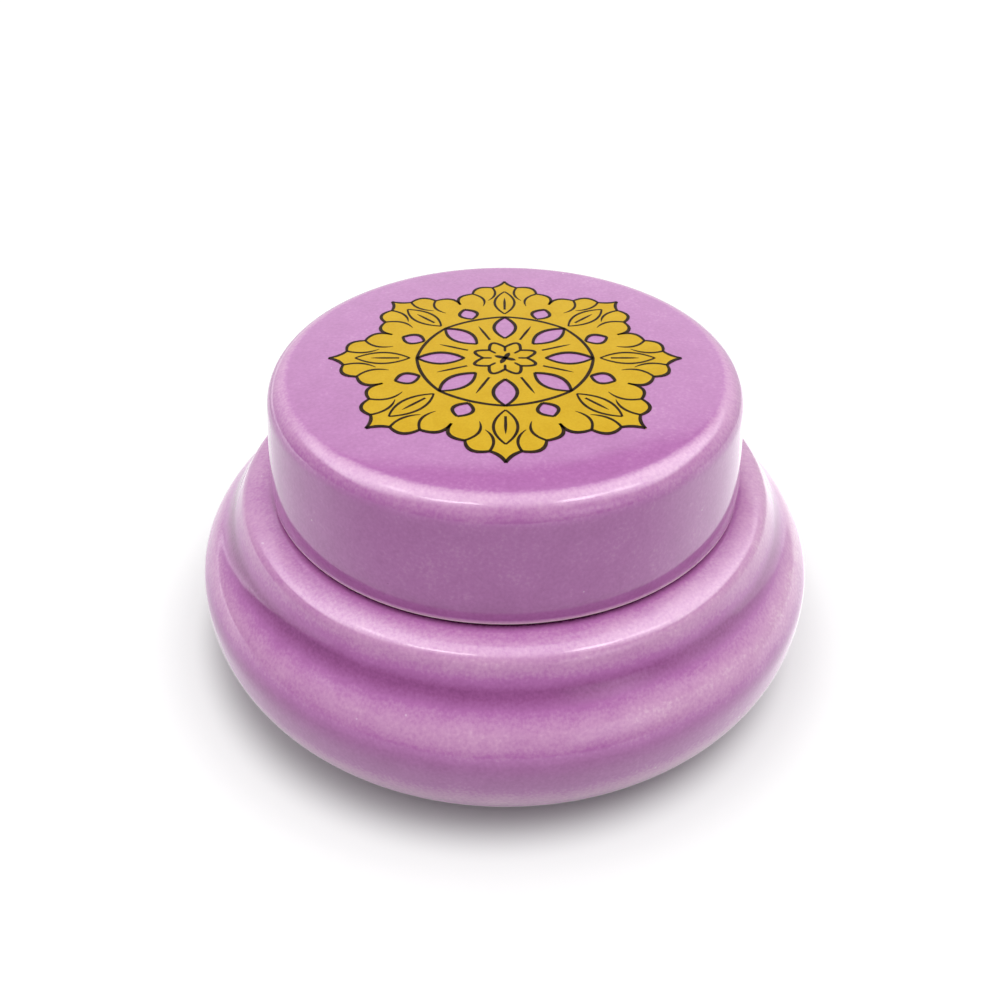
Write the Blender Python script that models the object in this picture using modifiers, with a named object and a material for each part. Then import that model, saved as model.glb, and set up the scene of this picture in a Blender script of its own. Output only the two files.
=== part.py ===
"""Lidded ceramic ink pot: a squat double-bellied pot, a cap lid that lifts off it, and a gold rosette on the lid.

The origin is the centre of the foot on the table, +Z is up, and every size is in metres.
"""

import math

import bmesh
import bpy
from mathutils import Vector
from mathutils.geometry import interpolate_bezier

MM = 0.001

# Overall sizes of the pot.
POT_RADIUS = 40.0 * MM
FOOT_HEIGHT = 0.8 * MM
UNDERSIDE_HEIGHT = 8.8 * MM      # foot to the widest line of the belly
HIP_HEIGHT = 5.45 * MM           # widest line to the hip, where the belly's top begins
WAIST_HEIGHT = 3.0 * MM          # hip to the waist, the hollow between belly and shoulder
SHOULDER_RISE = 2.5 * MM         # waist to the side of the shoulder ring
SHOULDER_HEIGHT = 2.15 * MM      # side of the shoulder ring to the seat of the lid
NECK_HEIGHT = 6.4 * MM

# Steps of the pot's outline, measured inwards from its widest line.
HIP_STEP = 1.5 * MM
WAIST_STEP = 4.4 * MM
SHOULDER_STEP = 6.1 * MM
UNDERSIDE_STEP = 6.7 * MM        # where the underside turns flat
FOOT_STEP = 8.5 * MM             # outer side of the foot ring

# Slopes of the outline where it passes these lines, below the horizontal.
SHOULDER_SLOPE = math.radians(60)
WAIST_SLOPE = math.radians(51)
HIP_SLOPE = math.radians(54)

# Shoulder, walls, foot and inner well of the pot.
SHOULDER_WIDTH = 2.9 * MM        # rounded outer part of the shoulder ring
LEDGE_WIDTH = 4.05 * MM          # shoulder ring left showing round the lid
POT_WALL = 4.0 * MM
NECK_WALL = 3.0 * MM
SHOULDER_WALL = 3.2 * MM
FLOOR_THICKNESS = 3.4 * MM
FLOOR_CORNER = 8.0 * MM
FOOT_WIDTH = 4.0 * MM
FOOT_RECESS = 1.6 * MM
NECK_EDGE_RADIUS = 0.8 * MM
NECK_ROOT_RADIUS = 0.4 * MM

# Lid.
LID_HEIGHT = 14.88 * MM
LID_WALL = 3.5 * MM
LID_TOP_THICKNESS = 3.2 * MM
LID_EDGE_RADIUS = 2.8 * MM
LID_RIM_RADIUS = 0.5 * MM
LID_CORNER_RADIUS = 2.4 * MM
DRAFT = math.radians(7.2)        # taper that the lid and the neck share
LID_SIDE_CLEARANCE = 0.6 * MM
LID_SEAT_GAP = 0.3 * MM

# Rosette on the lid. Its drawing is made on a circle of radius 1.
ROSETTE_MARGIN = 4.5 * MM        # bare glaze between the rosette's tips and the lid's rounded edge
ROSETTE_THICKNESS = 0.12 * MM
ROSETTE_GAP = 0.02 * MM
PALMETTES = 8
PALMETTE_CUSPS = ((1.00, 0.00), (0.91, 0.22), (0.84, 0.62), (0.72, 1.00))   # reach, share of half a palmette
PALMETTE_BOWS = (-0.10, 0.30, 0.30)                                         # between one cusp and the next
PETAL_WINDOW = (0.23, 0.50, 0.24)    # inner end, outer end and bow, in line with each palmette
ARCH_WINDOW = (0.51, 0.65, 0.40)     # the same, between each two palmettes

# Smoothness of the solids.
TURN_STEPS = 48
BEND_POINTS = 8
FILLET_POINTS = 4
BOW_POINTS = 5
QUARTER_ELLIPSE = 0.5523
SOFT_CURVE = 0.44

# Levels and radii that follow from the sizes above.
EQUATOR_Z = FOOT_HEIGHT + UNDERSIDE_HEIGHT
HIP_Z = EQUATOR_Z + HIP_HEIGHT
WAIST_Z = HIP_Z + WAIST_HEIGHT
SHOULDER_Z = WAIST_Z + SHOULDER_RISE
SEAT_Z = SHOULDER_Z + SHOULDER_HEIGHT
NECK_TOP_Z = SEAT_Z + NECK_HEIGHT
LID_RIM_Z = SEAT_Z + LID_SEAT_GAP
SHOULDER_RADIUS = POT_RADIUS - SHOULDER_STEP
LID_RADIUS = SHOULDER_RADIUS - LEDGE_WIDTH
LID_BORE = LID_RADIUS - LID_WALL
NECK_RADIUS = LID_BORE - LID_SIDE_CLEARANCE
NECK_TOP_RADIUS = NECK_RADIUS - NECK_HEIGHT * math.tan(DRAFT)
MOUTH_RADIUS = NECK_RADIUS - NECK_WALL
LID_TOP_RADIUS = LID_RADIUS - LID_HEIGHT * math.tan(DRAFT)
LID_FLAT_RADIUS = LID_TOP_RADIUS - LID_EDGE_RADIUS * math.tan((math.pi / 2 - DRAFT) / 2)
ROSETTE_RADIUS = LID_FLAT_RADIUS - ROSETTE_MARGIN

# Slopes of an outline, as angles below the horizontal that it is heading along.
OUTWARDS, DOWN, INWARDS, UP = 0.0, math.pi / 2, math.pi, -math.pi / 2


def at(radius, height):
    """A point of a turned outline."""
    return Vector((radius, 0.0, height))


def bend(start, leave, end, arrive, fullness=QUARTER_ELLIPSE):
    """Points of a smooth bend that leaves start at one slope and arrives at end at another."""
    chord = end - start
    heading = Vector((math.cos(leave), 0.0, -math.sin(leave)))
    arrival = Vector((math.cos(arrive), 0.0, -math.sin(arrive)))
    start_handle = start + heading * fullness * chord.dot(heading)
    end_handle = end - arrival * fullness * chord.dot(arrival)
    return interpolate_bezier(start, start_handle, end_handle, end, BEND_POINTS)


def fillet(before, corner, after, radius):
    """Points of the arc that rounds the corner between two straight stretches."""
    back = (before - corner).normalized()
    ahead = (after - corner).normalized()
    half_angle = back.angle(ahead) / 2
    reach = radius / math.tan(half_angle)
    handle = 4 / 3 * math.tan((math.pi - 2 * half_angle) / 4) * radius
    start = corner + back * reach
    end = corner + ahead * reach
    return interpolate_bezier(start, start - back * handle, end - ahead * handle, end, FILLET_POINTS)


def rounded(corners):
    """A straight-sided outline whose inner corners, each given with its radius, are rounded."""
    points = [corners[0][0]]
    for (before, _), (corner, radius), (after, _) in zip(corners, corners[1:], corners[2:]):
        points += fillet(before, corner, after, radius)
    return points + [corners[-1][0]]


def material(name, colour, roughness):
    """A Principled material of one colour."""
    made = bpy.data.materials.new(name)
    made.use_nodes = True
    shader = made.node_tree.nodes["Principled BSDF"]
    shader.inputs["Base Color"].default_value = (*colour, 1.0)
    shader.inputs["Roughness"].default_value = roughness
    return made


def turned(name, outline, where, finish):
    """An object turned round Z from an outline that runs down its outer side."""
    mesh = bpy.data.meshes.new(name)
    shape = bmesh.new()
    verts = [shape.verts.new(point) for point in outline]
    for first, second in zip(verts, verts[1:]):
        shape.edges.new((first, second))
    shape.to_mesh(mesh)
    shape.free()
    mesh.materials.append(finish)
    made = bpy.data.objects.new(name, mesh)
    where.objects.link(made)
    screw = made.modifiers.new("turn", "SCREW")
    screw.axis = "Z"
    screw.steps = TURN_STEPS
    screw.render_steps = TURN_STEPS
    screw.use_merge_vertices = True
    screw.merge_threshold = 0.01 * MM
    screw.use_smooth_shade = True
    return made


def well_outline():
    """The pot's inner well, from the middle of its floor out and up to the mouth."""
    floor_z = FOOT_RECESS + FLOOR_THICKNESS
    well_radius = POT_RADIUS - POT_WALL
    corner = at(well_radius - FLOOR_CORNER, floor_z)
    widest = at(well_radius, EQUATOR_Z)
    ceiling = at(MOUTH_RADIUS, SEAT_Z - SHOULDER_WALL)
    up_the_wall = bend(corner, OUTWARDS, widest, UP)
    under_the_shoulder = bend(widest, UP, ceiling, INWARDS)
    return [at(0.0, floor_z)] + up_the_wall + under_the_shoulder[1:]


def neck_outline(seat_end):
    """The neck that the lid drops over, from the inner well to the end of the lid's seat."""
    return rounded([
        (at(MOUTH_RADIUS, SEAT_Z - SHOULDER_WALL), 0.0),
        (at(MOUTH_RADIUS, NECK_TOP_Z), NECK_EDGE_RADIUS),
        (at(NECK_TOP_RADIUS, NECK_TOP_Z), NECK_EDGE_RADIUS),
        (at(NECK_RADIUS, SEAT_Z), NECK_ROOT_RADIUS),
        (seat_end, 0.0),
    ])


def belly_outline(seat_end):
    """The pot's outside, from the lid's seat over shoulder ring, waist and belly to the underside."""
    shoulder = at(SHOULDER_RADIUS, SHOULDER_Z)
    waist = at(POT_RADIUS - WAIST_STEP, WAIST_Z)
    hip = at(POT_RADIUS - HIP_STEP, HIP_Z)
    equator = at(POT_RADIUS, EQUATOR_Z)
    underside = at(POT_RADIUS - UNDERSIDE_STEP, FOOT_HEIGHT)
    stretches = (
        bend(seat_end, OUTWARDS, shoulder, SHOULDER_SLOPE),
        bend(shoulder, SHOULDER_SLOPE, waist, WAIST_SLOPE, SOFT_CURVE),
        bend(waist, WAIST_SLOPE, hip, HIP_SLOPE, SOFT_CURVE),
        bend(hip, HIP_SLOPE, equator, DOWN, SOFT_CURVE),
        bend(equator, DOWN, underside, INWARDS),
    )
    return [point for stretch in stretches for point in stretch[1:]]


def foot_outline():
    """The foot ring and its recess, from the underside to the middle of the base."""
    outer = POT_RADIUS - FOOT_STEP
    inner = outer - FOOT_WIDTH
    return [
        at(outer, FOOT_HEIGHT),
        at(outer, 0.0),
        at(inner, 0.0),
        at(inner, FOOT_RECESS),
        at(0.0, FOOT_RECESS),
    ]


def make_pot(where, finish):
    """The pot: inner well, neck, belly and foot in one turned wall."""
    seat_end = at(SHOULDER_RADIUS - SHOULDER_WIDTH, SEAT_Z)
    outline = well_outline() + neck_outline(seat_end)[1:] + belly_outline(seat_end) + foot_outline()
    return turned("pot", outline, where, finish)


def make_lid(where, finish):
    """The cap lid, modelled from its rim upwards and set down on the pot's shoulder."""
    depth = LID_HEIGHT - LID_TOP_THICKNESS
    outline = rounded([
        (at(0.0, LID_HEIGHT), 0.0),
        (at(LID_TOP_RADIUS, LID_HEIGHT), LID_EDGE_RADIUS),
        (at(LID_RADIUS, 0.0), LID_RIM_RADIUS),
        (at(LID_BORE, 0.0), LID_RIM_RADIUS),
        (at(LID_BORE - depth * math.tan(DRAFT), depth), LID_CORNER_RADIUS),
        (at(0.0, depth), 0.0),
    ])
    lid = turned("lid", outline, where, finish)
    lid.location.z = LID_RIM_Z
    return lid


def polar(reach, angle):
    """A point of the rosette's drawing, reach being 1 at its tips."""
    return Vector((math.cos(angle), math.sin(angle))) * reach * ROSETTE_RADIUS


def bowed(start, end, bow):
    """Points from start up to end, on a line that bows out to its right by this share of its length."""
    chord = end - start
    sideways = Vector((chord.y, -chord.x))
    shares = [i / BOW_POINTS for i in range(BOW_POINTS)]
    return [start + chord * share + sideways * bow * 4 * share * (1 - share) for share in shares]


def palmette_edge(angle):
    """The lobed edge of one palmette, anticlockwise from one valley beside it to the next."""
    half = math.pi / PALMETTES
    rising = [polar(reach, angle - share * half) for reach, share in reversed(PALMETTE_CUSPS)]
    falling = [polar(reach, angle + share * half) for reach, share in PALMETTE_CUSPS]
    cusps = rising + falling[1:]
    bows = PALMETTE_BOWS[::-1] + PALMETTE_BOWS
    return [point for start, end, bow in zip(cusps, cusps[1:], bows) for point in bowed(start, end, bow)]


def window(angle, inner, outer, bow):
    """An almond-shaped window that lies along this direction."""
    near = polar(inner, angle)
    far = polar(outer, angle)
    return bowed(near, far, bow) + bowed(far, near, bow)


def make_rosette(where, finish, lid):
    """The gold rosette: a thin plate with a lobed edge and almond windows, on the lid's flat top."""
    turns = [2 * math.pi * i / PALMETTES for i in range(PALMETTES)]
    valleys = [turn + math.pi / PALMETTES for turn in turns]
    outlines = [[point for turn in turns for point in palmette_edge(turn)]]
    outlines += [window(turn, *PETAL_WINDOW) for turn in turns]
    outlines += [window(valley, *ARCH_WINDOW) for valley in valleys]
    curve = bpy.data.curves.new("lid_rosette", "CURVE")
    curve.dimensions = "2D"
    curve.fill_mode = "BOTH"
    curve.extrude = ROSETTE_THICKNESS / 2
    for outline in outlines:
        spline = curve.splines.new("POLY")
        spline.points.add(len(outline) - 1)
        for point, place in zip(spline.points, outline):
            point.co = (*place, 0.0, 1.0)
        spline.use_cyclic_u = True
    curve.materials.append(finish)
    rosette = bpy.data.objects.new("lid_rosette", curve)
    where.objects.link(rosette)
    rosette.parent = lid
    rosette.location.z = LID_HEIGHT + ROSETTE_GAP + ROSETTE_THICKNESS / 2
    return rosette


def main():
    for old in list(bpy.data.objects):
        bpy.data.objects.remove(old)
    parts = bpy.data.collections.new("ink pot")
    bpy.context.scene.collection.children.link(parts)
    glaze = material("purple glaze", (0.42, 0.15, 0.37), 0.12)
    gold = material("gold transfer", (0.74, 0.47, 0.03), 0.35)
    make_pot(parts, glaze)
    lid = make_lid(parts, glaze)
    make_rosette(parts, gold, lid)


main()
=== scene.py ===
"""Lidded ceramic ink pot: turned glazed surfaces, a gold rosette drawn on the lid, and a white studio.

Sizes are metres in the part's own frame: the origin is the centre of the foot on the table and +Z is up.
"""

import math

import bmesh
import bpy
import numpy as np
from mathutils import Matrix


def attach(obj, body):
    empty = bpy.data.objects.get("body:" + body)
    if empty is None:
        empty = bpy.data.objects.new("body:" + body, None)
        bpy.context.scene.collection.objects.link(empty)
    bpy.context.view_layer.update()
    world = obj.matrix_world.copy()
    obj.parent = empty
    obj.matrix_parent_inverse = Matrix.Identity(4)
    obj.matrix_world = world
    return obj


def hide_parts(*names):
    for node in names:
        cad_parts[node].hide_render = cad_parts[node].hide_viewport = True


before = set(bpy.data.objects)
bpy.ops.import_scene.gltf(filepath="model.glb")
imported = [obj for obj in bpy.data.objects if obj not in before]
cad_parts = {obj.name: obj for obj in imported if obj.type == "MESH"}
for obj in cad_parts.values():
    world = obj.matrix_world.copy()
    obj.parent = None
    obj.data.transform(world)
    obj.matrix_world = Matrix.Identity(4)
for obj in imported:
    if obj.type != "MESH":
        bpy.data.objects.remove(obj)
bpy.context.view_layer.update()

MM = 0.001

# Overall sizes of the pot, as the part has them; points of the outline are (radius, height).
POT_RADIUS = 40.0 * MM
FOOT_HEIGHT = 0.8 * MM
EQUATOR_Z = 9.6 * MM
HIP = (38.5 * MM, 15.05 * MM)
WAIST = (35.6 * MM, 18.05 * MM)
SHOULDER = (33.9 * MM, 20.75 * MM)
SEAT_Z = 22.7 * MM
SEAT_END_RADIUS = 30.2 * MM
NECK_TOP_Z = 29.1 * MM
NECK_RADIUS = 25.75 * MM
NECK_TOP_RADIUS = 24.94 * MM
MOUTH_RADIUS = 22.75 * MM
WELL_RADIUS = 36.0 * MM
WELL_FLOOR_Z = 5.0 * MM
WELL_CORNER = 8.0 * MM
WELL_CEILING_Z = 19.5 * MM
UNDERSIDE_RADIUS = 33.3 * MM
FOOT_RADIUS = 31.5 * MM
FOOT_INNER_RADIUS = 27.5 * MM
FOOT_RECESS_Z = 1.6 * MM

# Slopes of the belly's outline, below the horizontal.
SEAT_END_SLOPE = math.radians(3)
SHOULDER_SLOPE = math.radians(60)
WAIST_SLOPE = math.radians(51)
HIP_SLOPE = math.radians(54)
OUTWARDS, DOWN, INWARDS, UP = 0.0, math.pi / 2, math.pi, -math.pi / 2

# Roundings of the pot's fired edges.
NECK_EDGE_RADIUS = 0.8 * MM
NECK_ROOT_RADIUS = 0.4 * MM
FOOT_EDGE_RADIUS = 0.35 * MM

# Lid.
LID_RIM_Z = 23.15 * MM
LID_TOP_Z = 37.88 * MM
LID_CEILING_Z = 34.68 * MM
LID_RADIUS = 29.85 * MM
LID_BORE = 26.35 * MM
LID_DRAFT = math.radians(7.2)
LID_EDGE_RADIUS = 2.8 * MM
LID_RIM_RADIUS = 0.38 * MM
LID_CORNER_RADIUS = 2.4 * MM
LID_MID_WALL = (LID_RADIUS + LID_BORE) / 2

# The lid's top falls away between these radii, and takes the top of the side down with it.
LID_FLAT_RADIUS = 21.0 * MM
LID_EDGE_START = 25.5 * MM
LID_FALL = 0.12 * MM
LID_FALL_HEIGHTS = (LID_TOP_Z - 9 * MM, LID_TOP_Z - 3 * MM)

# The lid's side draws in over this height above its rim.
LID_TUCK_HEIGHT = 3.6 * MM
LID_TUCK = 0.30 * MM

# Smoothness of the turned surfaces.
QUARTER_ELLIPSE = 0.5523
SOFT_CURVE = (0.44, 0.44)
CREST_CURVE = (0.8, 0.3)
BEND_POINTS = 26
FILLET_POINTS = 13
STRAIGHT_STEP = 0.45 * MM
SAME_POINT = 0.001 * MM
TURN_STEPS = 208

# Slow waves round a hand-finished wall: share of the radius, waves in a turn, shift by the piece's phase, and
# turn of the wave with each metre of height.
WALL_WAVES = (
    (0.0008, 2, 1.0, 0.0),
    (0.0006, 3, 1.7, 1 / (9 * MM)),
    (0.0004, 5, -2.3, -1 / (6 * MM)),
)
POT_PHASE = 0.6
LID_PHASE = 2.1

# Depth of the glaze by the outline's shape, 0 for bare and 1 for deepest: its level on a plain wall, and how
# it changes at edges, rims and hollows. Those are found by curvature, in radians per millimetre, which is
# averaged over a spread.
PLAIN_DEPTH = 0.46
EDGE_LOSS = 0.28
EDGE_SPREAD = 0.4 * MM
EDGE_CURVATURE = (0.15, 0.40)
EDGE_LEVELNESS = (0.10, 1.05)
RIM_LOSS = 0.46
RIM_SPREAD = 0.3 * MM
RIM_CURVATURE = (0.45, 1.10)
POOL_GAIN = 0.40
POOL_SPREAD = 1.4 * MM
POOL_CURVATURE = (0.0, 0.22)

# The lid's side is darker low down, between these heights: a painted shade above the ledge it stands on,
# drawn as deeper glaze.
LOW_SIDE_GAIN = 0.12
LOW_SIDE_HEIGHTS = (LID_RIM_Z + 0.5 * MM, LID_RIM_Z + 4.0 * MM)

# Depth of the glaze down the pot's outside: height in millimetres, then depth. It is deepest round the waist.
# The pale stretches on the shoulder ring and low on the belly are partly thin glaze and partly painted light:
# the fringe of the ring's highlight, and light thrown up from the floor.
GLAZE_AND_PAINTED_LIGHT_ON_POT = (
    (22.7, 0.28), (22.0, 0.21), (21.6, 0.20), (21.2, 0.23), (20.4, 0.33), (19.7, 0.48),
    (19.3, 0.65), (19.0, 0.78), (18.4, 0.75), (17.7, 0.55), (17.4, 0.43), (17.0, 0.35),
    (16.4, 0.25), (15.8, 0.19), (15.1, 0.22), (14.3, 0.31), (13.9, 0.40), (12.8, 0.54),
    (9.5, 0.44), (7.6, 0.22), (6.5, 0.18), (4.0, 0.30), (0.8, 0.55),
)

# The same on the seat, where a painted shade under the lid's rim darkens it as deep glaze: radius in
# millimetres, then depth.
PAINTED_SHADE_ON_SEAT = (
    (28.4, 0.42), (28.8, 1.10), (29.15, 1.10), (29.4, 0.66), (29.85, 0.44), (30.2, 0.35), (31.2, 0.27),
)

# Below these heights the clay is bare, and the glaze's edge is this wide.
POT_BARE_BELOW = 0.12 * MM
LID_BARE_BELOW = LID_RIM_Z + 0.26 * MM
GLAZE_EDGE = 0.25 * MM

# Rosette on the lid. Its drawing is made on a circle of radius 1: a cusp is (reach, share of the half angle
# between palmettes), and a window is (inner reach, outer reach, bow of its sides).
ROSETTE_RADIUS = 21.0 * MM
PALMETTES = 8
HALF_ANGLE = math.pi / PALMETTES
PALMETTE_CUSPS = ((1.00, 0.00), (0.91, 0.22), (0.84, 0.62), (0.72, 1.00))
PALMETTE_BOWS = (-0.10, 0.30, 0.30)
PETAL_WINDOW = (0.23, 0.50, 0.24)
ARCH_WINDOW = (0.51, 0.65, 0.40)
LEAF = (0.54, 0.85, 0.20)
LEAF_VEIN = (0.60, 0.76)
CURL_TIPS = ((0.73, 0.36), (0.66, 0.52))
CURL_BOWS = (0.16, 0.20)
RING_REACH, RING_BOW = 0.50, 0.075
SPOKE = (0.23, 0.41)
FLOWER_REACH, FLOWER_BOW = 0.125, 0.72
STAMEN = (0.075, 0.125)
STAR_REACH = 0.066
BOW_POINTS = 15
OUTLINE_WIDTH = 0.42 * MM
DETAIL_WIDTH = 0.34 * MM
STAR_WIDTH = 1.5 * OUTLINE_WIDTH

# Share of a drawn line's width that is left at its start and at its end.
LOBE_ENDS = (0.75, 0.75)
WINDOW_ENDS = (0.8, 0.8)
LEAF_ENDS = (0.7, 0.7)
TAPERED_ENDS = (0.9, 0.1)
CURL_ENDS = (1.0, 0.2)
RING_ENDS = (0.9, 0.9)
STAMEN_ENDS = (0.6, 1.0)
STAR_ENDS = (1.0, 0.05)

# The gold and the dark lines are thin plates let into the lid's top; the gold is printed a little aside.
GOLD_BOTTOM_Z = LID_TOP_Z - 0.06 * MM
GOLD_TOP_Z = LID_TOP_Z + 0.06 * MM
INK_BOTTOM_Z = LID_TOP_Z - 0.04 * MM
INK_TOP_Z = LID_TOP_Z + 0.08 * MM
GOLD_SHIFT = (0.07 * MM, -0.06 * MM)
MERGE_DISTANCE = 1e-7

# Colours of the glaze by its depth, of what shows through it, and of the transfer.
GLAZE_TONES = (
    (0.00, (0.78, 0.54, 0.68)),
    (0.15, (0.64, 0.34, 0.56)),
    (0.42, (0.47, 0.165, 0.435)),
    (0.75, (0.33, 0.096, 0.290)),
    (0.90, (0.258, 0.068, 0.224)),
    # The last, darkest tone serves mostly the painted shade on the seat under the lid's rim.
    (1.00, (0.10, 0.020, 0.075)),
)
CLAY_TONE = (0.90, 0.76, 0.76)
PINHOLE_TONE = (0.84, 0.66, 0.80)
IRON_TONE = (0.16, 0.03, 0.13)
GOLD_TONES = ((0.585, 0.352, 0.013), (0.655, 0.418, 0.024))
INK_TONES = ((0.016, 0.008, 0.003), (0.036, 0.017, 0.006))

# Change of the glaze's depth from place to place: size of the noise, its detail and its swing; and the depth
# gained with each metre towards -X, a painted shade that darkens each piece towards its left.
DRIFT = (14 * MM, 1.0, 0.14)
CLOUD = (3.2 * MM, 3.0, 0.20)
MOTTLE = (0.38 * MM, 2.0, 0.32)
POT_PAINTED_SIDE_SHADE = 1.6
LID_PAINTED_SIDE_SHADE = 0.3

# Specks in the glaze: spacing, size, share kept and shift of the pattern; and how strongly they colour it.
PINHOLES = (2.6 * MM, 0.34 * MM, 0.22, 0.0)
IRON_SPECKS = (3.4 * MM, 0.28 * MM, 0.10, 0.4)
PINHOLE_SHARE = 0.45
IRON_SHARE = 0.55

# Gloss of the glaze, and its relief: size and detail of the noise, and height in millimetres.
GLAZE_IOR = 1.58
GLAZE_ROUGHNESS = 0.06
CLOUD_ROUGHNESS = 0.06
CLAY_ROUGHNESS = 0.6
SWELL = (5.0 * MM, 1.0)
SWELL_HEIGHT = 0.030
PEEL = (0.7 * MM, 1.0)
PEEL_HEIGHT = 0.0016
PINHOLE_PIT = 0.012

# Surface of the transfer: size and detail of its noises, where they change its colour, and its gloss.
GOLD_CLOUD = (2.4 * MM, 3.0)
GOLD_GRAIN = (0.22 * MM, 2.0)
GOLD_GRAIN_HEIGHT = 0.0012
GOLD_SPREAD = (0.25, 0.75)
GOLD_ROUGHNESS, GOLD_GRAIN_ROUGHNESS = 0.30, 0.12
GOLD_SPECULAR = 0.06
INK_NOISE = (0.6 * MM, 2.0)
INK_SPREAD = (0.35, 0.75)
INK_ROUGHNESS, INK_THIN_ROUGHNESS = 0.3, 0.1
INK_SPECULAR = 0.05


def smoothstep(low, high, value):
    """0 below low, 1 above high, and 3t^2 - 2t^3 between them."""
    t = np.clip((value - low) / (high - low), 0.0, 1.0)
    return t * t * (3 - 2 * t)


def bend(start, leave, end, arrive, fullness=(QUARTER_ELLIPSE, QUARTER_ELLIPSE)):
    """A cubic Bezier from start to end: each handle follows its end's slope, an angle below the horizontal,
    for its share (fullness) of the chord's reach that way."""
    start, end = np.array(start), np.array(end)
    chord = end - start
    heading = np.array((math.cos(leave), -math.sin(leave)))
    arrival = np.array((math.cos(arrive), -math.sin(arrive)))
    near = start + heading * fullness[0] * chord.dot(heading)
    far = end - arrival * fullness[1] * chord.dot(arrival)
    t = np.linspace(0.0, 1.0, BEND_POINTS)[:, None]
    return (1 - t) ** 3 * start + 3 * (1 - t) ** 2 * t * near + 3 * (1 - t) * t ** 2 * far + t ** 3 * end


def fillet(before, corner, after, radius):
    """The arc of this radius that touches both sides of a corner: its centre lies on the bisector, and the
    spoke swings evenly from one touching point to the other."""
    before, corner, after = np.array(before), np.array(corner), np.array(after)
    back = (before - corner) / np.linalg.norm(before - corner)
    ahead = (after - corner) / np.linalg.norm(after - corner)
    half = math.acos(back.dot(ahead)) / 2
    reach = radius / math.tan(half)
    bisector = (back + ahead) / np.linalg.norm(back + ahead)
    centre = corner + bisector * radius / math.sin(half)
    first, last = corner + back * reach - centre, corner + ahead * reach - centre
    turn = math.pi - 2 * half
    t = np.linspace(0.0, 1.0, FILLET_POINTS)[:, None]
    return centre + (np.sin((1 - t) * turn) * first + np.sin(t * turn) * last) / math.sin(turn)


def rounded(corners):
    """The fillets of a straight-sided outline, each corner given with its radius; its ends stay sharp."""
    inner = zip(corners, corners[1:], corners[2:])
    return [fillet(before[0], corner, after[0], radius) for before, (corner, radius), after in inner]


def chain(*stretches):
    """One outline of these stretches in turn, with evenly spaced points on the straight runs between."""
    runs = [np.array(stretches[0], float)]
    for stretch in stretches[1:]:
        stretch = np.array(stretch, float)
        start, end = runs[-1][-1], stretch[0]
        length = np.linalg.norm(end - start)
        share = np.linspace(0.0, 1.0, max(2, math.ceil(length / STRAIGHT_STEP) + 1))[1:-1, None]
        runs.append(start + share * (end - start))
        runs.append(stretch if length > SAME_POINT else stretch[1:])
    return np.concatenate(runs)


def pot_outline():
    """Radius and height down the pot's wall: well, neck, shoulder ring, waist, belly, foot and base."""
    well_side = bend((WELL_RADIUS - WELL_CORNER, WELL_FLOOR_Z), OUTWARDS, (WELL_RADIUS, EQUATOR_Z), UP)
    well_top = bend((WELL_RADIUS, EQUATOR_Z), UP, (MOUTH_RADIUS, WELL_CEILING_Z), INWARDS)
    well_top = well_top[well_top[:, 0] > MOUTH_RADIUS + NECK_EDGE_RADIUS]
    seat_end = (SEAT_END_RADIUS, SEAT_Z)
    equator = (POT_RADIUS, EQUATOR_Z)
    underside = (UNDERSIDE_RADIUS, FOOT_HEIGHT)
    neck = rounded([
        (well_top[-1], 0.0),
        ((MOUTH_RADIUS, WELL_CEILING_Z), NECK_ROOT_RADIUS),
        ((MOUTH_RADIUS, NECK_TOP_Z), NECK_EDGE_RADIUS),
        ((NECK_TOP_RADIUS, NECK_TOP_Z), NECK_EDGE_RADIUS),
        ((NECK_RADIUS, SEAT_Z), NECK_ROOT_RADIUS),
        (seat_end, 0.0),
    ])
    foot = rounded([
        (underside, 0.0),
        ((FOOT_RADIUS, FOOT_HEIGHT), FOOT_EDGE_RADIUS),
        ((FOOT_RADIUS, 0.0), FOOT_EDGE_RADIUS),
        ((FOOT_INNER_RADIUS, 0.0), FOOT_EDGE_RADIUS),
        ((FOOT_INNER_RADIUS, FOOT_RECESS_Z), FOOT_EDGE_RADIUS),
        ((0.0, FOOT_RECESS_Z), 0.0),
    ])
    return chain(
        [(0.0, WELL_FLOOR_Z)], well_side, well_top, *neck,
        bend(seat_end, SEAT_END_SLOPE, SHOULDER, SHOULDER_SLOPE, CREST_CURVE),
        bend(SHOULDER, SHOULDER_SLOPE, WAIST, WAIST_SLOPE, SOFT_CURVE),
        bend(WAIST, WAIST_SLOPE, HIP, HIP_SLOPE, SOFT_CURVE),
        bend(HIP, HIP_SLOPE, equator, DOWN, SOFT_CURVE),
        bend(equator, DOWN, underside, INWARDS),
        *foot, [(0.0, FOOT_RECESS_Z)],
    )


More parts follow.
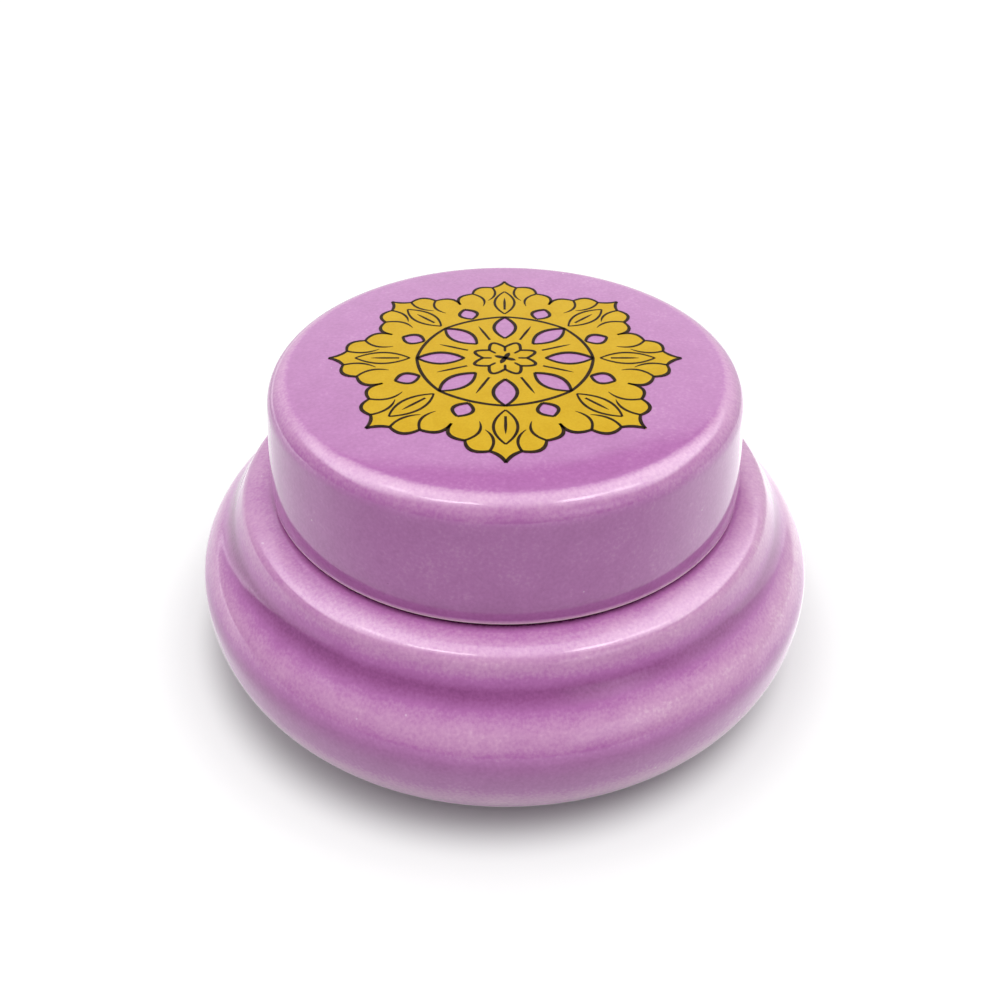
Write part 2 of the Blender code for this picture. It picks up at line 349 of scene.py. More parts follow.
def lid_outline():
    """Radius and height over the lid: flat top, rounded edge, drafted side, rim, bore and ceiling. By square
    laws the top falls towards its edge, which goes down with it, and the side draws in towards the rim."""
    taper = math.tan(LID_DRAFT)
    corners = [
        ((0.0, LID_TOP_Z), 0.0),
        ((LID_RADIUS - (LID_TOP_Z - LID_RIM_Z) * taper, LID_TOP_Z), LID_EDGE_RADIUS),
        ((LID_RADIUS, LID_RIM_Z), LID_RIM_RADIUS),
        ((LID_BORE, LID_RIM_Z), LID_RIM_RADIUS),
        ((LID_BORE - (LID_CEILING_Z - LID_RIM_Z) * taper, LID_CEILING_Z), LID_CORNER_RADIUS),
        ((0.0, LID_CEILING_Z), 0.0),
    ]
    outline = chain([corners[0][0]], *rounded(corners), [corners[-1][0]])
    share = (outline[:, 0] - LID_FLAT_RADIUS) / (LID_EDGE_START - LID_FLAT_RADIUS)
    fall = LID_FALL * np.where(share < 1, np.clip(share, 0, 1) ** 2, 2 * share - 1)
    outer_top = smoothstep(*LID_FALL_HEIGHTS, outline[:, 1])
    outer_top[np.argmin(outline[:, 1]):] = 0.0
    low = np.clip((LID_RIM_Z + LID_TUCK_HEIGHT - outline[:, 1]) / LID_TUCK_HEIGHT, 0, 1)
    outline[:, 1] -= fall * outer_top
    outline[:, 0] -= LID_TUCK * low ** 2 * (outline[:, 0] > LID_MID_WALL)
    return outline


def shape_depth(outline):
    """Depth of the glaze along an outline by its shape: the outline's turning, spread by a Gaussian, is its
    curvature, and glaze draws back from tight outer edges and pools in hollows."""
    steps = np.diff(outline, axis=0)
    along = np.concatenate([[0.0], np.cumsum(np.linalg.norm(steps, axis=1))])
    heading = np.unwrap(np.arctan2(steps[:, 1], steps[:, 0]))
    turning = np.concatenate([[0.0], np.diff(heading), [0.0]])
    apart = along[:, None] - along[None, :]

    def curvature(spread):
        near = np.exp(-0.5 * (apart / spread) ** 2) / (spread * math.sqrt(2 * math.pi))
        return near @ turning * MM

    level = np.abs(np.cos(np.concatenate([heading[:1], heading])))
    edge = smoothstep(*EDGE_CURVATURE, -curvature(EDGE_SPREAD)) * smoothstep(*EDGE_LEVELNESS, level)
    rim = smoothstep(*RIM_CURVATURE, -curvature(RIM_SPREAD))
    pooled = smoothstep(*POOL_CURVATURE, curvature(POOL_SPREAD))
    return PLAIN_DEPTH - np.maximum(EDGE_LOSS * edge, RIM_LOSS * rim) + POOL_GAIN * pooled


def pot_depth_and_painted_light(outline):
    """Depth of the glaze along the pot's outline, with painted light and shade in it: by shape inside, and
    from the lists past the neck's foot, by radius on the seat, where it is painted shade under the lid's rim,
    and by height below it, where it is partly painted light."""
    radius, height = outline.T
    listed_height, wall_depth_and_light = np.array(GLAZE_AND_PAINTED_LIGHT_ON_POT[::-1]).T
    listed_radius, seat_shade = np.array(PAINTED_SHADE_ON_SEAT).T
    neck_foot = np.argmin(np.hypot(radius - NECK_RADIUS, height - SEAT_Z))
    outside = np.arange(len(outline)) > neck_foot
    wall = outside & (height > FOOT_HEIGHT)
    seat = outside & (height > EQUATOR_Z) & (radius < listed_radius[-1] * MM)
    depth = np.where(wall, np.interp(height, listed_height * MM, wall_depth_and_light), shape_depth(outline))
    return np.where(seat, np.interp(radius, listed_radius * MM, seat_shade), depth)


def lid_depth(outline):
    """Depth of the glaze along the lid's outline: by shape, and deeper low on its outer side as a painted
    shade.
    """
    low_side = 1 - smoothstep(*LOW_SIDE_HEIGHTS, outline[:, 1])
    return shape_depth(outline) + LOW_SIDE_GAIN * low_side * (outline[:, 0] > LID_MID_WALL)


def unevenness(angle, height, phase):
    """Share by which a wall leaves its true radius, the sum of its slow waves less their highest point."""
    waves = sum(share * np.cos(count * angle + shift * phase + climb * height)
                for share, count, shift, climb in WALL_WAVES)
    return waves - waves.max()


def mesh_piece(name, points, faces, finish):
    """A smooth-shaded object from arrays of points and faces."""
    mesh = bpy.data.meshes.new(name)
    mesh.from_pydata(points.tolist(), [], faces)
    mesh.shade_smooth()
    mesh.materials.append(finish)
    piece = bpy.data.objects.new(name, mesh)
    bpy.context.scene.collection.objects.link(piece)
    return piece


def turned(name, outline, depth, finish, phase, bare_below):
    """A surface of revolution: point (i, j) is outline point i turned by angle j, radius * (1 + unevenness),
    with one point at each pole. Attributes carry the depth of the glaze, with painted light and shade in it,
    and where the clay is bare."""
    angle = np.linspace(0.0, 2 * math.pi, TURN_STEPS, endpoint=False)
    ring_radius, ring_height = outline[1:-1, :1], outline[1:-1, 1:]
    radius = ring_radius * (1 + unevenness(angle[None, :], ring_height, phase))
    rings = np.stack([radius * np.cos(angle), radius * np.sin(angle),
                      np.broadcast_to(ring_height, radius.shape)], axis=-1)
    poles = np.array([(0.0, 0.0, outline[0, 1]), (0.0, 0.0, outline[-1, 1])])
    points = np.concatenate([rings.reshape(-1, 3), poles])
    index = np.arange(len(rings) * TURN_STEPS).reshape(len(rings), TURN_STEPS)
    ahead = np.roll(index, -1, axis=1)
    quads = np.stack([index[:-1], index[1:], ahead[1:], ahead[:-1]], axis=-1).reshape(-1, 4)
    start, end = index.size, index.size + 1
    first = np.stack([np.full(TURN_STEPS, start), index[0], ahead[0]], axis=-1)
    last = np.stack([np.full(TURN_STEPS, end), ahead[-1], index[-1]], axis=-1)
    piece = mesh_piece(name, points, quads.tolist() + first.tolist() + last.tolist(), finish)
    bare = 1 - smoothstep(bare_below, bare_below + GLAZE_EDGE, outline[:, 1])
    for label, along in (("glaze_depth_and_painted_light", depth), ("bare_clay", bare)):
        values = np.concatenate([np.repeat(along[1:-1], TURN_STEPS), along[[0, -1]]])
        piece.data.attributes.new(label, "FLOAT", "POINT").data.foreach_set("value", values)
    return piece


def polar(reach, angle):
    """A point of the rosette's drawing, reach being 1 at its tips."""
    return reach * ROSETTE_RADIUS * np.array((math.cos(angle), math.sin(angle)))


def bowed(start, end, bow):
    """A parabola from start to end that stands off to the right of its chord by bow times its length."""
    chord = end - start
    t = np.linspace(0.0, 1.0, BOW_POINTS)[:, None]
    return start + chord * t + np.array((chord[1], -chord[0])) * bow * 4 * t * (1 - t)


def spoke(angle, inner, outer):
    """A straight line outwards along this direction."""
    return bowed(polar(inner, angle), polar(outer, angle), 0.0)


def palmette_lobes(angle):
    """The bowed lines of one palmette's edge, anticlockwise from one valley beside it to the next."""
    rising = [polar(reach, angle - share * HALF_ANGLE) for reach, share in reversed(PALMETTE_CUSPS)]
    falling = [polar(reach, angle + share * HALF_ANGLE) for reach, share in PALMETTE_CUSPS]
    cusps = rising + falling[1:]
    bows = PALMETTE_BOWS[::-1] + PALMETTE_BOWS
    return [bowed(start, end, bow) for start, end, bow in zip(cusps, cusps[1:], bows)]


def palmette_curls(angle, hand):
    """The curls that run inwards from a palmette's inner cusps, on the side that hand (-1 or 1) gives."""
    curls = []
    for (reach, share), (tip_reach, tip_share), bow in zip(PALMETTE_CUSPS[1:], CURL_TIPS, CURL_BOWS):
        cusp = polar(reach, angle + hand * share * HALF_ANGLE)
        tip = polar(tip_reach, angle + hand * tip_share * HALF_ANGLE)
        curls.append(bowed(cusp, tip, -hand * bow))
    return curls


def window_sides(angle, inner, outer, bow):
    """The two bowed sides of an almond-shaped window that lies along this direction."""
    near, far = polar(inner, angle), polar(outer, angle)
    return [bowed(near, far, bow), bowed(far, near, bow)]


def closed(lines):
    """One closed outline of lines that follow each other."""
    return np.concatenate([line[:-1] for line in lines])


def make_gold(finish):
    """The gold of the rosette: the lobed outline less its windows, as a filled curve with a thickness."""
    turns = [2 * math.pi * i / PALMETTES for i in range(PALMETTES)]
    outlines = [closed([lobe for turn in turns for lobe in palmette_lobes(turn)])]
    for turn in turns:
        outlines.append(closed(window_sides(turn, *PETAL_WINDOW)))
        outlines.append(closed(window_sides(turn + HALF_ANGLE, *ARCH_WINDOW)))
    curve = bpy.data.curves.new("rosette_gold", "CURVE")
    curve.dimensions = "2D"
    curve.fill_mode = "BOTH"
    curve.extrude = (GOLD_TOP_Z - GOLD_BOTTOM_Z) / 2
    for outline in outlines:
        spline = curve.splines.new("POLY")
        spline.points.add(len(outline) - 1)
        flat = np.column_stack([outline, np.zeros(len(outline)), np.ones(len(outline))])
        spline.points.foreach_set("co", flat.ravel())
        spline.use_cyclic_u = True
    drawn = bpy.data.objects.new("rosette_gold_curve", curve)
    bpy.context.scene.collection.objects.link(drawn)
    mesh = bpy.data.meshes.new_from_object(drawn.evaluated_get(bpy.context.evaluated_depsgraph_get()))
    bpy.data.objects.remove(drawn)
    shape = bmesh.new()
    shape.from_mesh(mesh)
    bmesh.ops.remove_doubles(shape, verts=shape.verts, dist=MERGE_DISTANCE)
    bmesh.ops.translate(shape, verts=shape.verts, vec=(*GOLD_SHIFT, (GOLD_TOP_Z + GOLD_BOTTOM_Z) / 2))
    bmesh.ops.recalc_face_normals(shape, faces=shape.faces)
    shape.to_mesh(mesh)
    shape.free()
    mesh.name = "rosette_gold"
    mesh.materials.clear()
    mesh.materials.append(finish)
    piece = bpy.data.objects.new("rosette_gold", mesh)
    bpy.context.scene.collection.objects.link(piece)
    return piece


def stroke(path, width, ends):
    """A flat drawn line: the path moved half its width to each side, the width swelling as a sine between the
    shares left at its two ends, as a closed bar of four corners per path point."""
    t = np.linspace(0.0, 1.0, len(path))
    swell = ends[0] + (ends[1] - ends[0]) * t
    half = 0.5 * width * (swell + (1 - swell) * np.sin(math.pi * t))
    heading = np.gradient(path, axis=0)
    heading /= np.linalg.norm(heading, axis=1)[:, None]
    aside = np.column_stack([-heading[:, 1], heading[:, 0]]) * half[:, None]
    left, right = path + aside, path - aside
    low = np.full((len(path), 1), INK_BOTTOM_Z)
    high = np.full((len(path), 1), INK_TOP_Z)
    corners = [np.hstack(pair) for pair in ((right, low), (right, high), (left, high), (left, low))]
    points = np.stack(corners, axis=1).reshape(-1, 3)
    index = np.arange(len(points)).reshape(-1, 4)
    ahead = np.roll(index, -1, axis=1)
    sides = np.stack([index[:-1], index[1:], ahead[1:], ahead[:-1]], axis=-1).reshape(-1, 4)
    return points, np.concatenate([sides, index[:1], index[-1:, ::-1]])


def rosette_lines():
    """Every line of the rosette's drawing as (path, width, shares of the width at its ends)."""
    for i in range(PALMETTES):
        turn = 2 * i * HALF_ANGLE
        valley = turn + HALF_ANGLE
        following = turn + 2 * HALF_ANGLE
        for lobe in palmette_lobes(turn):
            yield lobe, OUTLINE_WIDTH, LOBE_ENDS
        for side in window_sides(turn, *PETAL_WINDOW) + window_sides(valley, *ARCH_WINDOW):
            yield side, OUTLINE_WIDTH, WINDOW_ENDS
        for side in window_sides(turn, *LEAF):
            yield side, DETAIL_WIDTH, LEAF_ENDS
        yield spoke(turn, *LEAF_VEIN), DETAIL_WIDTH, TAPERED_ENDS
        for curl in palmette_curls(turn, -1) + palmette_curls(turn, 1):
            yield curl, DETAIL_WIDTH, CURL_ENDS
        ring = bowed(polar(RING_REACH, turn), polar(RING_REACH, following), RING_BOW)
        yield ring, OUTLINE_WIDTH, RING_ENDS
        yield spoke(valley, *SPOKE), DETAIL_WIDTH, TAPERED_ENDS
        petal = bowed(polar(FLOWER_REACH, turn), polar(FLOWER_REACH, following), FLOWER_BOW)
        yield petal, OUTLINE_WIDTH, RING_ENDS
        yield spoke(turn, *STAMEN), DETAIL_WIDTH, STAMEN_ENDS
        if i % 2:
            yield spoke(valley, 0.0, STAR_REACH), STAR_WIDTH, STAR_ENDS


def make_ink(finish):
    """The dark drawing of the rosette, all its lines in one mesh."""
    points, faces, count = [], [], 0
    for line in rosette_lines():
        more, sides = stroke(*line)
        points.append(more)
        faces.append(sides + count)
        count += len(more)
    piece = mesh_piece("rosette_ink", np.concatenate(points), np.concatenate(faces).tolist(), finish)
    piece.data.shade_flat()
    return piece


def node(tree, kind, wires, **fields):
    """Adds a node: fields are its settings, and wires gives each input a value or another node's output."""
    made = tree.nodes.new(kind)
    for name, value in fields.items():
        setattr(made, name, value)
    for name, value in wires.items():
        if isinstance(value, bpy.types.NodeSocket):
            tree.links.new(value, made.inputs[name])
        else:
            made.inputs[name].default_value = value
    return made


def maths(tree, operation, *values):
    """The output of one Math node."""
    return node(tree, "ShaderNodeMath", dict(enumerate(values)), operation=operation).outputs[0]


def product(tree, *values):
    """These values multiplied together."""
    total = values[0]
    for value in values[1:]:
        total = maths(tree, "MULTIPLY", total, value)
    return total


def noise(tree, where, size, detail):
    """Noise whose features are about this size in metres, from 0 to 1 round 0.5."""
    wires = {"Vector": where, "Scale": 1 / size, "Detail": detail}
    return node(tree, "ShaderNodeTexNoise", wires).outputs["Fac"]


def fade(tree, value, low, high):
    """A smooth step of value, from 0 at low to 1 at high."""
    wires = {"Value": value, "From Min": low, "From Max": high}
    return node(tree, "ShaderNodeMapRange", wires, interpolation_type="SMOOTHSTEP").outputs["Result"]


def between(tree, value, low, high, low_soft, high_soft):
    """1 where value lies between low and high, with a smooth step of its own width at each end."""
    rise = fade(tree, value, low - low_soft, low + low_soft)
    return maths(tree, "MULTIPLY", rise, fade(tree, value, high + high_soft, high - high_soft))


def blended(tree, share, first, second):
    """Number first, turning to number second where share is 1."""
    wires = {"Factor": share, "A": first, "B": second}
    return node(tree, "ShaderNodeMix", wires, data_type="FLOAT").outputs[0]


def mixed(tree, share, first, second):
    """Colour first, turning to colour second where share is 1."""
    made = node(tree, "ShaderNodeMix", {"Factor": share}, data_type="RGBA")
    for socket, value in zip([s for s in made.inputs if s.type == "RGBA"], (first, second)):
        if isinstance(value, bpy.types.NodeSocket):
            tree.links.new(value, socket)
        else:
            socket.default_value = (*value, 1.0)
    return next(s for s in made.outputs if s.type == "RGBA")


def specks(tree, where, spacing, size, kept, shift):
    """Round specks about this size, one in each cell of this spacing, of which only a share is kept."""
    place = node(tree, "ShaderNodeMapping", {"Vector": where, "Location": (shift, shift, shift)}).outputs[0]
    cells = node(tree, "ShaderNodeTexVoronoi", {"Vector": place, "Scale": 1 / spacing})
    dot = fade(tree, cells.outputs["Distance"], 0.5 * size / spacing, 0.25 * size / spacing)
    chance = node(tree, "ShaderNodeSeparateColor", {"Color": cells.outputs["Color"]}).outputs[0]
    return maths(tree, "MULTIPLY", dot, maths(tree, "LESS_THAN", chance, kept))


def start_finish(name):
    """A new material's tree, its shader and the Object coordinates."""
    made = bpy.data.materials.new(name)
    made.use_nodes = True
    tree = made.node_tree
    where = tree.nodes.new("ShaderNodeTexCoord").outputs["Object"]
    return made, tree, tree.nodes["Principled BSDF"], where


def emboss(tree, shader, height):
    """Gives a shader relief from a height in millimetres."""
    bump = node(tree, "ShaderNodeBump", {"Height": height, "Distance": MM, "Strength": 1.0})
    tree.links.new(bump.outputs["Normal"], shader.inputs["Normal"])


def glaze_finish(name, side_shade):
    """Glossy purple glaze over pale clay: its colour follows its depth, which carries painted light and
    shade, and darkens towards -X as a painted shade, with slow drift, clouds, fine mottle, pinholes and iron
    specks."""
    made, tree, shader, where = start_finish(name)
    depth = node(tree, "ShaderNodeAttribute", {}, attribute_name="glaze_depth_and_painted_light").outputs["Fac"]
    bare = node(tree, "ShaderNodeAttribute", {}, attribute_name="bare_clay").outputs["Fac"]
    sideways = node(tree, "ShaderNodeSeparateXYZ", {"Vector": where}).outputs[0]
    depth = maths(tree, "MULTIPLY_ADD", sideways, -side_shade, depth)
    for size, detail, swing in (DRIFT, CLOUD, MOTTLE):
        change = noise(tree, where, size, detail)
        depth = maths(tree, "MULTIPLY_ADD", change, swing, maths(tree, "SUBTRACT", depth, swing / 2))
    ramp = node(tree, "ShaderNodeValToRGB", {"Fac": depth})
    while len(ramp.color_ramp.elements) < len(GLAZE_TONES):
        ramp.color_ramp.elements.new(0.5)
    for stop, (place, tone) in zip(ramp.color_ramp.elements, GLAZE_TONES):
        stop.position = place
        stop.color = (*tone, 1.0)
    pinholes = specks(tree, where, *PINHOLES)
    iron = specks(tree, where, *IRON_SPECKS)
    colour = ramp.outputs["Color"]
    colour = mixed(tree, maths(tree, "MULTIPLY", pinholes, PINHOLE_SHARE), colour, PINHOLE_TONE)
    colour = mixed(tree, maths(tree, "MULTIPLY", iron, IRON_SHARE), colour, IRON_TONE)
    tree.links.new(mixed(tree, bare, colour, CLAY_TONE), shader.inputs["Base Color"])
    cloud = noise(tree, where, *CLOUD[:2])
    rough = maths(tree, "MULTIPLY_ADD", cloud, CLOUD_ROUGHNESS, GLAZE_ROUGHNESS)
    rough = maths(tree, "MULTIPLY_ADD", bare, CLAY_ROUGHNESS, rough)
    tree.links.new(rough, shader.inputs["Roughness"])
    shader.inputs["IOR"].default_value = GLAZE_IOR
    swell = maths(tree, "MULTIPLY", noise(tree, where, *SWELL), SWELL_HEIGHT)
    height = maths(tree, "MULTIPLY_ADD", noise(tree, where, *PEEL), PEEL_HEIGHT, swell)
    emboss(tree, shader, maths(tree, "MULTIPLY_ADD", pinholes, -PINHOLE_PIT, height))
    return made


def gold_finish():
    """Flat mustard gold of a fired transfer, faintly uneven, with a fine grain."""
    made, tree, shader, where = start_finish("gold transfer")
    cloud = noise(tree, where, *GOLD_CLOUD)
    grain = noise(tree, where, *GOLD_GRAIN)
    share = maths(tree, "MULTIPLY_ADD", grain, 0.5, maths(tree, "MULTIPLY", cloud, 0.5))
    tree.links.new(mixed(tree, fade(tree, share, *GOLD_SPREAD), *GOLD_TONES), shader.inputs["Base Color"])
    rough = maths(tree, "MULTIPLY_ADD", grain, GOLD_GRAIN_ROUGHNESS, GOLD_ROUGHNESS)
    tree.links.new(rough, shader.inputs["Roughness"])
    shader.inputs["Specular IOR Level"].default_value = GOLD_SPECULAR
    emboss(tree, shader, maths(tree, "MULTIPLY", grain, GOLD_GRAIN_HEIGHT))
    return made


def ink_finish():
    """Brown-black line colour of the transfer, a little thinner in places."""
    made, tree, shader, where = start_finish("dark line")
    thin = fade(tree, noise(tree, where, *INK_NOISE), *INK_SPREAD)
    tree.links.new(mixed(tree, thin, *INK_TONES), shader.inputs["Base Color"])
    rough = maths(tree, "MULTIPLY_ADD", thin, INK_THIN_ROUGHNESS, INK_ROUGHNESS)
    tree.links.new(rough, shader.inputs["Roughness"])
    shader.inputs["Specular IOR Level"].default_value = INK_SPECULAR
    return made


pot_line = pot_outline()
lid_line = lid_outline()
pot_glaze = glaze_finish("pot glaze", POT_PAINTED_SIDE_SHADE)
lid_glaze = glaze_finish("lid glaze", LID_PAINTED_SIDE_SHADE)
pot = turned("pot_glazed", pot_line, pot_depth_and_painted_light(pot_line), pot_glaze, POT_PHASE, POT_BARE_BELOW)
lid = turned("lid_glazed", lid_line, lid_depth(lid_line), lid_glaze, LID_PHASE, LID_BARE_BELOW)
gold = make_gold(gold_finish())
ink = make_ink(ink_finish())

for piece, body, stands_for, slot in (
    (pot, "pot", "pot", "pot_glaze"),
    (lid, "lid", "lid", "lid_glaze"),
    (gold, "lid", "lid_rosette", "gold_transfer"),
    (ink, "lid", "lid_rosette", "gold_transfer"),
):
    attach(piece, body)
    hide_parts(stands_for)

# White floor. Pairs give where a change starts and where it is complete.
FLOOR_REACH = 3.0
FLOOR_TONE = 0.50
FLOOR_ROUGHNESS = 0.9

# The floor's own glow as the glaze mirrors it: its level, more on a strip beside the pot and far to the left
# behind it, weaker to the left of the pot than to its right, and dark under it, a painted shadow in
# reflections.
MIRROR_LEVEL = 0.26
STRIP_LEVEL = 0.54
STRIP_FRONT = (-65 * MM, -15 * MM)
STRIP_BACK = (115 * MM, 80 * MM)
FAR_LEFT_LEVEL = 1.3
FAR_LEFT_ACROSS = (-150 * MM, -400 * MM)
FAR_LEFT_BACK = (0.0, 100 * MM)
LEFT_SHARE, RIGHT_GAIN = 0.80, 0.60
LEFT_TO_RIGHT = (-50 * MM, 50 * MM)
UNDER_POT = (33 * MM, 46 * MM)

# The floor as the camera sees it is whitened in two steps away from the middle of the pot's shadow, so the
# dark ring round the pot is partly painted shadow.
SHADOW_CENTRE = (-1.5 * MM, -0.3 * MM, 0.0)
SHADOW_CORE, CORE_WHITE = (36.6 * MM, 42.6 * MM), 0.41
SHADOW_FRINGE, FRINGE_WHITE = (41.5 * MM, 49.7 * MM), 0.11


def floor_glow(tree, where):
    """The light that the floor gives off by itself: one for reflections and one for the camera."""
    rays = node(tree, "ShaderNodeLightPath", {}).outputs
    x, y, _ = node(tree, "ShaderNodeSeparateXYZ", {"Vector": where}).outputs
    from_pot = node(tree, "ShaderNodeVectorMath", {0: where}, operation="LENGTH").outputs["Value"]
    strip = product(tree, fade(tree, y, *STRIP_FRONT), fade(tree, y, *STRIP_BACK))
    far_left = product(tree, fade(tree, x, *FAR_LEFT_ACROSS), fade(tree, y, *FAR_LEFT_BACK))
    mirrored = maths(tree, "MULTIPLY_ADD", strip, STRIP_LEVEL, MIRROR_LEVEL)
    mirrored = maths(tree, "MULTIPLY_ADD", far_left, FAR_LEFT_LEVEL, mirrored)
    rightwards = maths(tree, "MULTIPLY_ADD", fade(tree, x, *LEFT_TO_RIGHT), RIGHT_GAIN, LEFT_SHARE)
    clear_of_pot = fade(tree, from_pot, *UNDER_POT)
    mirrored = product(tree, mirrored, rightwards, clear_of_pot, rays["Is Glossy Ray"])
    wires = {0: where, 1: SHADOW_CENTRE}
    from_shadow = node(tree, "ShaderNodeVectorMath", wires, operation="DISTANCE").outputs["Value"]
    whitened = maths(tree, "MULTIPLY", fade(tree, from_shadow, *SHADOW_CORE), CORE_WHITE)
    fringe = fade(tree, from_shadow, *SHADOW_FRINGE)
    whitened = maths(tree, "MULTIPLY_ADD", fringe, FRINGE_WHITE, whitened)
    whitened = product(tree, whitened, rays["Is Camera Ray"])
    return maths(tree, "ADD", mirrored, whitened)


def make_floor():
    """A matt white square of paper that keeps the pot's shadow, partly cast and partly painted by its glow.
    """
    finish, tree, shader, where = start_finish("white paper")
    shader.inputs["Roughness"].default_value = FLOOR_ROUGHNESS
    shader.inputs["Specular IOR Level"].default_value = 0.0
    shader.inputs["Base Color"].default_value = (FLOOR_TONE, FLOOR_TONE, FLOOR_TONE, 1.0)
    shader.inputs["Emission Color"].default_value = (1.0, 1.0, 1.0, 1.0)
    tree.links.new(floor_glow(tree, where), shader.inputs["Emission Strength"])
    corners = np.array([(-1, -1, 0), (1, -1, 0), (1, 1, 0), (-1, 1, 0)]) * FLOOR_REACH
    return mesh_piece("floor", corners, [(0, 1, 2, 3)], finish)


floor = make_floor()

# A little over 1, which keeps the level part of a ray that points straight up above 0.
UNIT = 1.001

# Studio walls: brightness by facing, from -1 for the wall behind the camera to 1 for the one behind the pot.
WALL_DARK, WALL_LIFT = 0.04, 0.18
WALL_FACING = (-0.8, -0.2)
WALL_RIGHT_GAIN = 0.25
BACKDROP_LEVEL, BACKDROP_GLOSSY = 0.90, 0.35
BACKDROP_FACING = (0.1, 0.7)
BACKDROP_LOW_SHARE, BACKDROP_RISE = 0.60, 0.40
BACKDROP_UP = (0.05, 0.50)
CEILING_LEVEL = 0.06
CEILING_UP, CEILING_TILT = (0.585, 0.645), 0.12

# Soft box overhead, placed by the slopes of a ray: across (rightwards over upwards) and forward (towards the
# camera over upwards). It is wide for the light that it casts, and ramped and skewed in reflections.
HORIZON = 0.02
HORIZON_FADE = (0.02, 0.06)
BOX_ACROSS = (-1.5, 1.5, 0.35, 0.35)
BOX_FORWARD = (-0.36, 1.20, 0.15, 0.30)
RAMP_BACK, RAMP_SKEW = (-1.22, 0.0), 0.35
RAMP_FRONT = (0.85, 0.0)
BOX_CENTRE, BOX_SIDES, BOX_SIDE_GAIN = 0.05, (0.12, 0.40), 0.45
BOX_LEVEL, BOX_GLOSSY = 1.46, 2.24

# Windows: left, right, low and high in degrees, level, and what reflections add to it; then the softness of
# their sides and of their lower and upper ends.
WINDOWS = (
    (62, 115, -5, 20, 0.35, 0.25),
    (24, 52, 12, 30, 0.10, 0.95),
)
PANE_SIDES = (12, 12)
PANE_ENDS = (5, 6)

# Lamp strips, seen only in reflections: left, right, back and front as slopes, and level; then the softness
# of their ends and of their long edges.
LAMPS = (
    (-0.64, -0.46, -0.04, 0.16, 2.5),
    (-0.46, -0.13, 0.23, 0.36, 6.0),
    (0.28, 0.52, 0.14, 0.32, 6.0),
    (0.52, 0.85, 0.02, 0.22, 3.0),
)
LAMP_ENDS = (0.04, 0.04)
LAMP_EDGES = (0.03, 0.03)


def wall_light(tree, east, north, up, glossy):
    """Walls that brighten from behind the camera to the backdrop behind the pot, under a dark ceiling."""
    level_reach = maths(tree, "SQRT", maths(tree, "SUBTRACT", UNIT, maths(tree, "MULTIPLY", up, up)))
    facing = maths(tree, "DIVIDE", north, level_reach)
    aside = maths(tree, "DIVIDE", east, level_reach)
    backdrop = maths(tree, "MULTIPLY_ADD", glossy, BACKDROP_GLOSSY, BACKDROP_LEVEL)
    backdrop = product(tree, fade(tree, facing, *BACKDROP_FACING), backdrop)
    rising = maths(tree, "MULTIPLY_ADD", fade(tree, up, *BACKDROP_UP), BACKDROP_RISE, BACKDROP_LOW_SHARE)
    walls = maths(tree, "MULTIPLY_ADD", fade(tree, facing, *WALL_FACING), WALL_LIFT, WALL_DARK)
    walls = product(tree, walls, maths(tree, "MULTIPLY_ADD", aside, WALL_RIGHT_GAIN, 1.0))
    walls = maths(tree, "ADD", walls, product(tree, backdrop, rising))
    ceiling = fade(tree, maths(tree, "MULTIPLY_ADD", aside, CEILING_TILT, up), *CEILING_UP)
    return blended(tree, ceiling, walls, CEILING_LEVEL)


def box_light(tree, across, forward, above, glossy):
    """The soft box: brighter to its sides, and in reflections stronger and ramped away from its middle."""
    cast = between(tree, forward, *BOX_FORWARD)
    skewed = maths(tree, "MULTIPLY_ADD", maths(tree, "MAXIMUM", across, 0.0), RAMP_SKEW, forward)
    ramped = product(tree, fade(tree, skewed, *RAMP_BACK), fade(tree, forward, *RAMP_FRONT))
    reach = blended(tree, glossy, cast, ramped)
    off_centre = maths(tree, "ABSOLUTE", maths(tree, "SUBTRACT", across, BOX_CENTRE))
    sides = maths(tree, "MULTIPLY_ADD", fade(tree, off_centre, *BOX_SIDES), BOX_SIDE_GAIN, 1.0)
    level = maths(tree, "MULTIPLY_ADD", glossy, BOX_GLOSSY, BOX_LEVEL)
    return product(tree, between(tree, across, *BOX_ACROSS), reach, above, sides, level)


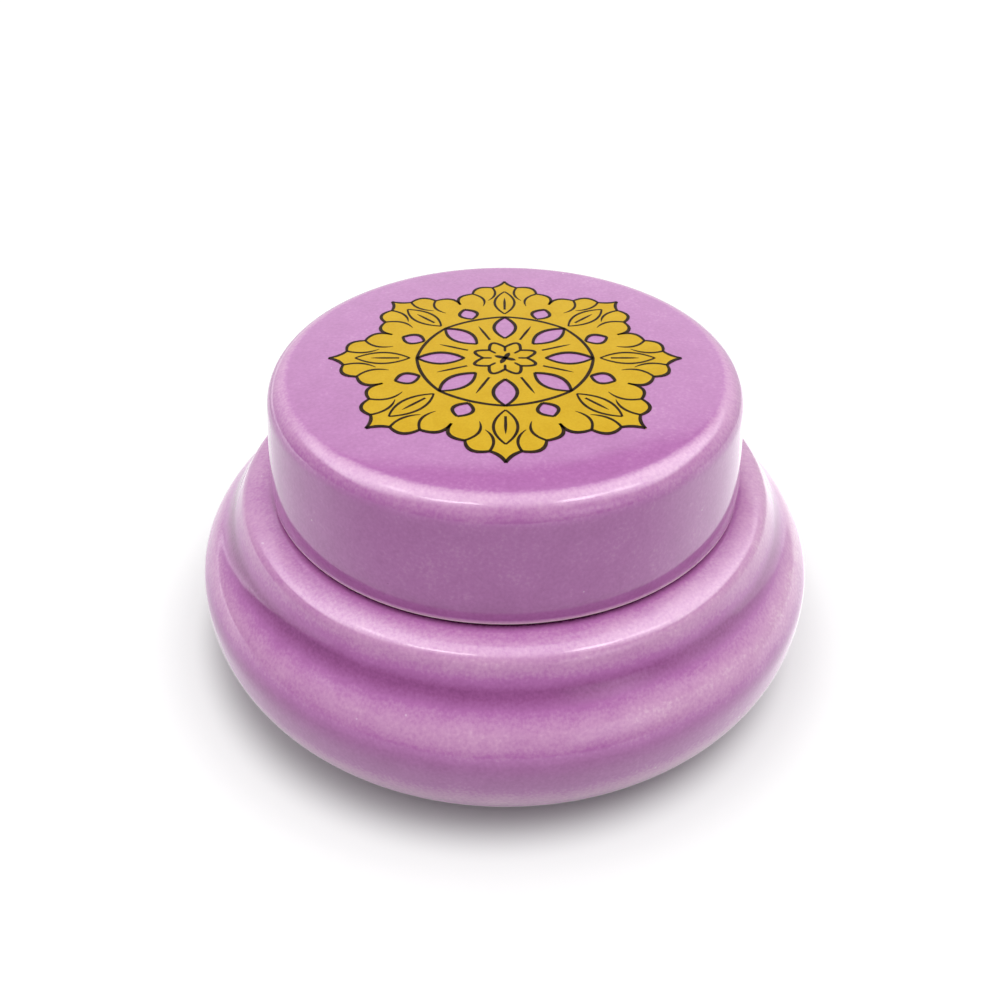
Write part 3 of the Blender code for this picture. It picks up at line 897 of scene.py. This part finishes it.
def make_studio():
    """The sky as a studio: walls, soft box, windows and lamp strips. The camera itself sees plain white."""
    world = bpy.data.worlds.new("studio")
    bpy.context.scene.world = world
    world.use_nodes = True
    tree = world.node_tree
    ray = tree.nodes.new("ShaderNodeTexCoord").outputs["Generated"]
    east, north, up = node(tree, "ShaderNodeSeparateXYZ", {"Vector": ray}).outputs
    south = maths(tree, "MULTIPLY", north, -1.0)
    seen_by = node(tree, "ShaderNodeLightPath", {}).outputs
    glossy = seen_by["Is Glossy Ray"]
    overhead = maths(tree, "MAXIMUM", up, HORIZON)
    across = maths(tree, "DIVIDE", east, overhead)
    forward = maths(tree, "DIVIDE", south, overhead)
    above = fade(tree, up, *HORIZON_FADE)
    azimuth = maths(tree, "DEGREES", maths(tree, "ARCTAN2", east, south))
    elevation = maths(tree, "DEGREES", maths(tree, "ARCSINE", up))
    walls = wall_light(tree, east, north, up, glossy)
    light = maths(tree, "ADD", box_light(tree, across, forward, above, glossy), walls)
    for left, right, low, high, level, mirror_gain in WINDOWS:
        wide = between(tree, azimuth, left, right, *PANE_SIDES)
        pane = product(tree, wide, between(tree, elevation, low, high, *PANE_ENDS))
        brightness = maths(tree, "MULTIPLY_ADD", glossy, mirror_gain, level)
        light = maths(tree, "MULTIPLY_ADD", pane, brightness, light)
    for left, right, back, front, level in LAMPS:
        wide = between(tree, across, left, right, *LAMP_ENDS)
        strip = product(tree, wide, between(tree, forward, back, front, *LAMP_EDGES), above, glossy)
        light = maths(tree, "MULTIPLY_ADD", strip, level, light)
    background = tree.nodes["Background"]
    tree.links.new(blended(tree, seen_by["Is Camera Ray"], light, 1.0), background.inputs["Strength"])
    background.inputs["Color"].default_value = (1.0, 1.0, 1.0, 1.0)


make_studio()

# Camera at the photograph's angle; its lens and sensor are in millimetres.
CAMERA_PITCH = math.radians(38.67)
CAMERA_DISTANCE = 0.1195
CAMERA_X = -0.6 * MM
CAMERA_TARGET_Z = 16.28 * MM
CAMERA_LENS = 32.04
CAMERA_SENSOR = 36.0
CAMERA_NEAR = 1 * MM
camera = bpy.data.cameras.new("camera")
camera.lens = CAMERA_LENS
camera.sensor_width = CAMERA_SENSOR
camera.clip_start = CAMERA_NEAR
viewer = bpy.data.objects.new("camera", camera)
bpy.context.scene.collection.objects.link(viewer)
viewer.location = (CAMERA_X, -CAMERA_DISTANCE * math.cos(CAMERA_PITCH),
                   CAMERA_TARGET_Z + CAMERA_DISTANCE * math.sin(CAMERA_PITCH))
viewer.rotation_euler = (math.pi / 2 - CAMERA_PITCH, 0.0, 0.0)
bpy.context.scene.camera = viewer
bpy.context.scene.view_settings.view_transform = "Standard"
